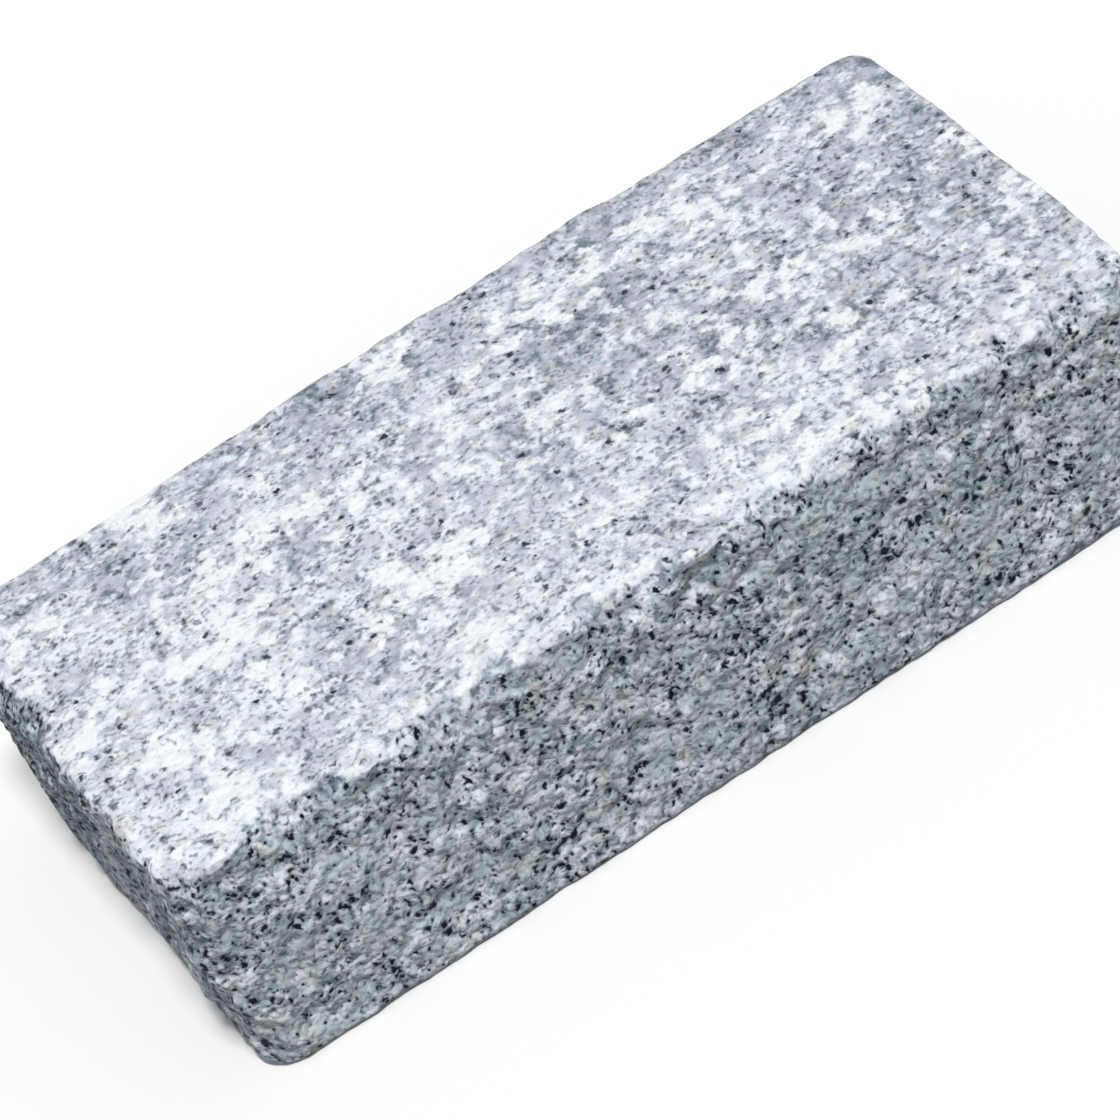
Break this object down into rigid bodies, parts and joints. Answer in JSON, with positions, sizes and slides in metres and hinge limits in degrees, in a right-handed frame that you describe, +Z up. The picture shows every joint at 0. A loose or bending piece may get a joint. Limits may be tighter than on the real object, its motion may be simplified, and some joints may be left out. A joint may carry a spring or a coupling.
{
  "type": "granite palisade",
  "caption": "Rectangular block of split grey granite with soft, chipped edges, set upright as garden edging or laid as a kerb or step.",
  "frame": {"origin": "middle of the underside, where the stone rests on the floor", "axes": "+X along the length, +Y across the width towards the back side, +Z up through the thickness"},
  "size_m": [0.4989, 0.2499, 0.12],
  "materials": {
    "granite": "matt split granite, light grey with black mica specks"
  },
  "bodies": {
    "root": {"palisade": "granite"}
  },
  "joints": []
}
